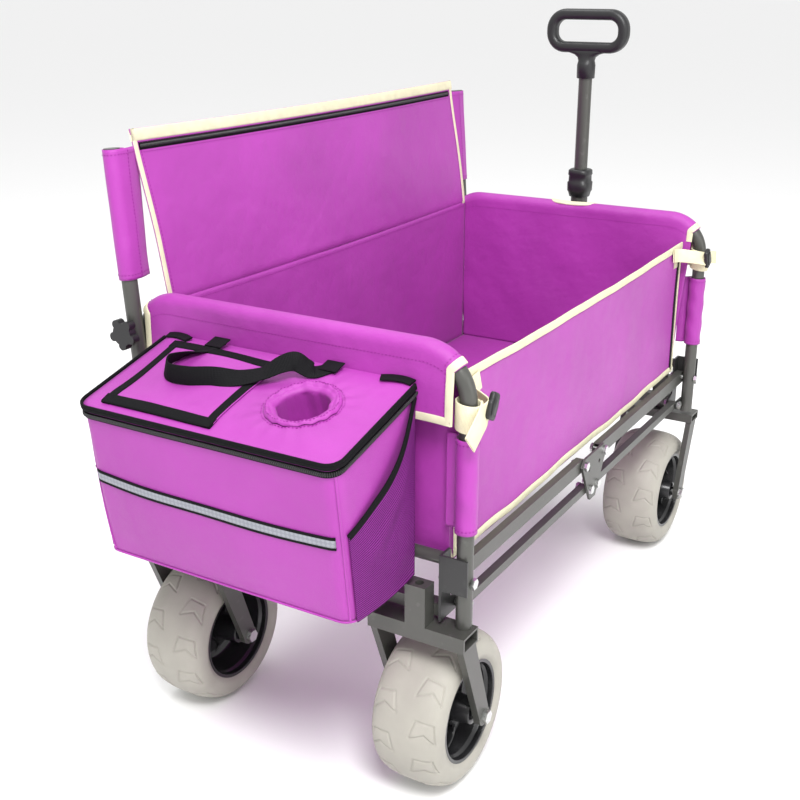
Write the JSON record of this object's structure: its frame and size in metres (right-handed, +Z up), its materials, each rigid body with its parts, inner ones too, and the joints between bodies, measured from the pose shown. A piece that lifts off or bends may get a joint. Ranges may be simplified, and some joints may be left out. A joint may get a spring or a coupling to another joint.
{
  "type": "folding beach cart",
  "caption": "Folding fabric wagon on fat balloon wheels, with front casters, drop-down side, tilting backrest, rear cooler bag and telescopic pull handle.",
  "frame": {"origin": "on the ground, at the middle of the cart's overall length and width", "axes": "+X towards the pull handle (front), +Y towards the tall backrest (left), +Z up"},
  "size_m": [1.1894, 0.56, 1],
  "materials": {
    "frame_paint": "satin grey powder coat",
    "bracket_black": "satin black",
    "bolt_zinc": "zinc plated",
    "fabric_purple": "woven polyester",
    "mesh_purple": "open mesh",
    "reflective": "reflective tape",
    "webbing_cream": "woven webbing",
    "webbing_black": "woven webbing",
    "plastic_black": "moulded, fine texture",
    "tyre_grey": "matt foam",
    "rim_black": "moulded gloss"
  },
  "bodies": {
    "rear_frame": {"rear_end_tube": "frame_paint", "rear_cross_tubes": "frame_paint", "rear_hinge_brackets": "bracket_black", "rear_pivot_bolts": "bolt_zinc", "rear_fork_left": "frame_paint", "rear_fork_right": "frame_paint", "rear_axles": "bolt_zinc", "rear_end_panel": "fabric_purple", "rear_post_sleeves": "fabric_purple", "rear_corner_strap": "webbing_cream", "rear_corner_buckle": "plastic_black", "basket_floor": "fabric_purple", "far_side_panel": "fabric_purple", "bag_body": "fabric_purple", "bag_mesh_pockets": "mesh_purple", "bag_reflective_strip": "reflective"},
    "bag_lid": {"bag_lid": "fabric_purple", "lid_pocket": "fabric_purple", "carry_handle": "webbing_black", "cup_liner": "fabric_purple"},
    "rear_upper_links": {"rear_upper_rails": "frame_paint"},
    "rear_lower_links": {"rear_lower_rails": "frame_paint"},
    "centre_plates": {"centre_plates": "frame_paint", "plate_bolts": "bolt_zinc"},
    "front_upper_links": {"front_upper_rails": "frame_paint"},
    "front_lower_links": {"front_lower_rails": "frame_paint"},
    "front_frame": {"front_end_tube": "frame_paint", "front_cross_tubes": "frame_paint", "front_hinge_brackets": "bracket_black", "front_pivot_bolts": "bolt_zinc", "front_end_panel": "fabric_purple", "front_post_sleeves": "fabric_purple", "front_corner_strap": "webbing_cream", "front_corner_buckle": "plastic_black", "handle_bracket": "frame_paint"},
    "drop_side": {"drop_side_panel": "fabric_purple"},
    "backrest": {"rear_pole": "frame_paint", "rear_pole_lug": "fabric_purple", "backrest_panel": "fabric_purple"},
    "front_pole": {"front_pole": "frame_paint", "front_pole_lug": "fabric_purple"},
    "rear_knob": {"rear_knob": "plastic_black"},
    "front_knob": {"front_knob": "plastic_black"},
    "handle": {"handle_outer_tube": "frame_paint", "handle_collar": "plastic_black"},
    "handle_inner": {"handle_inner_tube": "frame_paint", "handle_grip": "plastic_black", "grip_screws": "bolt_zinc"},
    "front_fork_left": {"front_fork_left": "frame_paint", "front_axle_left": "bolt_zinc"},
    "front_fork_right": {"front_fork_right": "frame_paint", "front_axle_right": "bolt_zinc"},
    "rear_wheel_left": {"tyre_rear_left": "tyre_grey", "rim_rear_left": "rim_black"},
    "rear_wheel_right": {"tyre_rear_right": "tyre_grey", "rim_rear_right": "rim_black"},
    "front_wheel_left": {"tyre_front_left": "tyre_grey", "rim_front_left": "rim_black"},
    "front_wheel_right": {"tyre_front_right": "tyre_grey", "rim_front_right": "rim_black"}
  },
  "joints": [
    {"name": "fold", "type": "hinge", "parent": "rear_frame", "child": "rear_upper_links", "pos_m": [-0.396, 0, 0.334], "axis": [0, -1, 0], "range_deg": [0, 73], "deforming": ["basket_floor", "far_side_panel", "drop_side_panel", "backrest_panel"]},
    {"name": "plate_level", "type": "hinge", "parent": "rear_upper_links", "child": "centre_plates", "pos_m": [0.024, 0, 0.334], "axis": [0, -1, 0], "range_deg": [-73, 0]},
    {"name": "front_upper_fold", "type": "hinge", "parent": "centre_plates", "child": "front_upper_links", "pos_m": [0.104, 0, 0.334], "axis": [0, -1, 0], "range_deg": [-73, 0]},
    {"name": "front_frame_fold", "type": "hinge", "parent": "front_upper_links", "child": "front_frame", "pos_m": [0.524, 0, 0.334], "axis": [0, -1, 0], "range_deg": [0, 73]},
    {"name": "rear_lower_fold", "type": "hinge", "parent": "rear_frame", "child": "rear_lower_links", "pos_m": [-0.37, 0, 0.285], "axis": [0, -1, 0], "range_deg": [0, 73]},
    {"name": "front_lower_fold", "type": "hinge", "parent": "centre_plates", "child": "front_lower_links", "pos_m": [0.078, 0, 0.285], "axis": [0, -1, 0], "range_deg": [-73, 0]},
    {"name": "drop_side", "type": "hinge", "parent": "rear_frame", "child": "drop_side", "pos_m": [0.064, -0.2285, 0.349], "axis": [1, 0, 0], "range_deg": [0, 90]},
    {"name": "backrest_tilt", "type": "hinge", "parent": "rear_frame", "child": "backrest", "pos_m": [-0.396, 0.25257, 0.595], "axis": [-1, 0, 0], "range_deg": [-7, 25]},
    {"name": "front_pole_tilt", "type": "hinge", "parent": "front_frame", "child": "front_pole", "pos_m": [0.524, 0.25257, 0.595], "axis": [-1, 0, 0], "range_deg": [-7, 25]},
    {"name": "rear_knob_turn", "type": "hinge", "parent": "backrest", "child": "rear_knob", "pos_m": [-0.442, 0.25257, 0.595], "axis": [1, 0, 0], "continuous": true},
    {"name": "front_knob_turn", "type": "hinge", "parent": "front_pole", "child": "front_knob", "pos_m": [0.57, 0.25257, 0.595], "axis": [1, 0, 0], "continuous": true},
    {"name": "lid", "type": "hinge", "parent": "rear_frame", "child": "bag_lid", "pos_m": [-0.41193, 0, 0.5975], "axis": [0, 1, 0], "range_deg": [0, 75]},
    {"name": "handle_tilt", "type": "hinge", "parent": "front_frame", "child": "handle", "pos_m": [0.5552, 0, 0.312], "axis": [0, 1, 0], "range_deg": [0, 100]},
    {"name": "handle_slide", "type": "slide", "parent": "handle", "child": "handle_inner", "axis": [0, 0, 1], "range_m": [-0.15, 0.14]},
    {"name": "front_fork_left_swivel", "type": "hinge", "parent": "front_frame", "child": "front_fork_left", "pos_m": [0.542, 0.2, 0.268], "axis": [0, 0, 1], "continuous": true},
    {"name": "front_fork_right_swivel", "type": "hinge", "parent": "front_frame", "child": "front_fork_right", "pos_m": [0.542, -0.2, 0.268], "axis": [0, 0, 1], "continuous": true},
    {"name": "rear_wheel_left_spin", "type": "hinge", "parent": "rear_frame", "child": "rear_wheel_left", "pos_m": [-0.356, 0.2, 0.112], "axis": [0, 1, 0], "continuous": true},
    {"name": "rear_wheel_right_spin", "type": "hinge", "parent": "rear_frame", "child": "rear_wheel_right", "pos_m": [-0.356, -0.2, 0.112], "axis": [0, 1, 0], "continuous": true},
    {"name": "front_wheel_left_spin", "type": "hinge", "parent": "front_fork_left", "child": "front_wheel_left", "pos_m": [0.484, 0.2, 0.112], "axis": [0, 1, 0], "continuous": true},
    {"name": "front_wheel_right_spin", "type": "hinge", "parent": "front_fork_right", "child": "front_wheel_right", "pos_m": [0.484, -0.2, 0.112], "axis": [0, 1, 0], "continuous": true}
  ],
  "couplings": [
    {"joint": "plate_level", "follows": "fold", "ratio": -1},
    {"joint": "front_upper_fold", "follows": "fold", "ratio": -1},
    {"joint": "front_frame_fold", "follows": "fold", "ratio": 1},
    {"joint": "rear_lower_fold", "follows": "fold", "ratio": 1},
    {"joint": "front_lower_fold", "follows": "fold", "ratio": -1},
    {"joint": "front_pole_tilt", "follows": "backrest_tilt", "ratio": 1}
  ]
}
